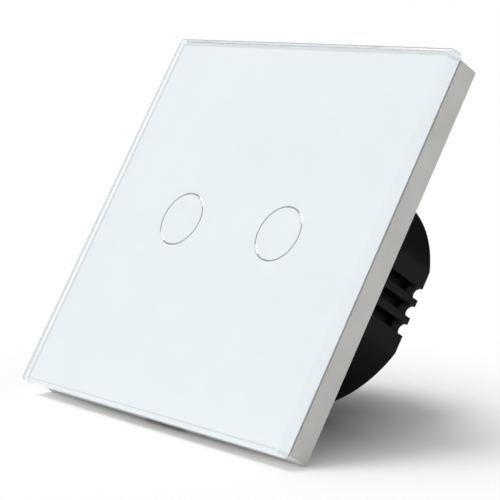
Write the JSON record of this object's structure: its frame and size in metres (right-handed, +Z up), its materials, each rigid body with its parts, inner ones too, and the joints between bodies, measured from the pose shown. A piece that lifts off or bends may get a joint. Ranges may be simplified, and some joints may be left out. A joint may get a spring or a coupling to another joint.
{
  "type": "touch light switch",
  "caption": "Flush-mounted touch light switch: square white glass panel with ring-shaped touch fields, pale frame, steel plate and round black housing with wire slots.",
  "frame": {"origin": "on the wall's surface, midway between the box screws", "axes": "+X right and +Z up as the user sees it, +Y into the wall"},
  "size_m": [0.08, 0.034, 0.08],
  "materials": {
    "clear_glass": "toughened float glass with polished bevels",
    "white_enamel": "opaque white enamel on the back of the glass",
    "ring_ink": "thin grey ring line in the enamel",
    "bonding_tape": "double-sided bonding tape",
    "frame_plastic": "pale warm grey moulded plastic, fine satin",
    "zinc_steel": "zinc-plated sheet steel",
    "black_plastic": "black moulded plastic, satin",
    "milky_plastic": "milky light-spreading plastic",
    "spring_steel": "nickel-plated spring wire",
    "lamp_epoxy": "surface lamp with a pale yellow lens",
    "circuit_board": "glass-epoxy board with green solder mask",
    "chip_epoxy": "black moulded epoxy",
    "film_capacitor_box": "yellow moulded box",
    "can_aluminium": "sleeved aluminium can",
    "ferrite": "dark ferrite drum with enamelled winding",
    "fuse_ceramic": "ceramic tube with metal caps",
    "relay_plastic": "blue moulded relay case",
    "relay_iron": "nickel-plated soft iron",
    "copper_wire": "enamelled copper wire on a bobbin",
    "contact_brass": "brass strip with silvered rivet",
    "terminal_plastic": "dark grey flame-retardant plastic",
    "screw_steel": "zinc-plated steel screw"
  },
  "bodies": {
    "module": {"mounting_plate": "zinc_steel", "front_cover": "black_plastic", "housing_screws": "screw_steel", "light_guides": "milky_plastic", "touch_springs": "spring_steel", "indicator_leds": "lamp_epoxy", "touch_board": "circuit_board", "touch_chip": "chip_epoxy", "board_header": "chip_epoxy", "board_spacers": "milky_plastic", "power_board": "circuit_board", "supply_capacitor": "film_capacitor_box", "storage_capacitor": "can_aluminium", "supply_coil": "ferrite", "rectifier": "chip_epoxy", "fuse": "fuse_ceramic", "relay_bases": "relay_plastic", "relay_covers": "relay_plastic", "relay_yokes": "relay_iron", "relay_coils": "copper_wire", "relay_contacts": "contact_brass", "terminal_block": "terminal_plastic", "terminal_bars": "contact_brass", "rear_housing": "black_plastic"},
    "front_panel": {"glass_panel": "clear_glass", "back_print": "white_enamel", "touch_rings": "ring_ink", "frame_tape": "bonding_tape", "panel_frame": "frame_plastic"},
    "screw_1": {"terminal_screw_1": "screw_steel"},
    "clamp_1": {"clamp_cage_1": "contact_brass"},
    "screw_2": {"terminal_screw_2": "screw_steel"},
    "clamp_2": {"clamp_cage_2": "contact_brass"},
    "screw_3": {"terminal_screw_3": "screw_steel"},
    "clamp_3": {"clamp_cage_3": "contact_brass"},
    "armature_1": {"relay_armature_1": "relay_iron"},
    "armature_2": {"relay_armature_2": "relay_iron"}
  },
  "joints": [
    {"name": "panel_pull", "type": "slide", "parent": "module", "child": "front_panel", "axis": [0, -1, 0], "range_m": [0, 0.012]},
    {"name": "screw_1_turn", "type": "hinge", "parent": "module", "child": "screw_1", "pos_m": [0.0147, 0.0213, -0.00381], "axis": [0, -1, 0], "range_deg": [0, 1800]},
    {"name": "clamp_1_rise", "type": "slide", "parent": "module", "child": "clamp_1", "axis": [0, 1, 0], "range_m": [0, 0.002]},
    {"name": "screw_2_turn", "type": "hinge", "parent": "module", "child": "screw_2", "pos_m": [0.0147, 0.0213, 0], "axis": [0, -1, 0], "range_deg": [0, 1800]},
    {"name": "clamp_2_rise", "type": "slide", "parent": "module", "child": "clamp_2", "axis": [0, 1, 0], "range_m": [0, 0.002]},
    {"name": "screw_3_turn", "type": "hinge", "parent": "module", "child": "screw_3", "pos_m": [0.0147, 0.0213, 0.00381], "axis": [0, -1, 0], "range_deg": [0, 1800]},
    {"name": "clamp_3_rise", "type": "slide", "parent": "module", "child": "clamp_3", "axis": [0, 1, 0], "range_m": [0, 0.002]},
    {"name": "armature_1_rock", "type": "hinge", "parent": "module", "child": "armature_1", "pos_m": [-0.00962, 0.02035, 0.0122], "axis": [0, 0, -1], "range_deg": [0, 3], "stiffness_Nm_per_rad": 0.001, "springref_deg": -20.05},
    {"name": "armature_2_rock", "type": "hinge", "parent": "module", "child": "armature_2", "pos_m": [-0.00962, 0.02035, -0.0122], "axis": [0, 0, -1], "range_deg": [0, 3], "stiffness_Nm_per_rad": 0.001, "springref_deg": -20.05}
  ],
  "couplings": [
    {"joint": "screw_1_turn", "follows": "clamp_1_rise", "rad_per_m": 15708},
    {"joint": "screw_2_turn", "follows": "clamp_2_rise", "rad_per_m": 15708},
    {"joint": "screw_3_turn", "follows": "clamp_3_rise", "rad_per_m": 15708}
  ]
}
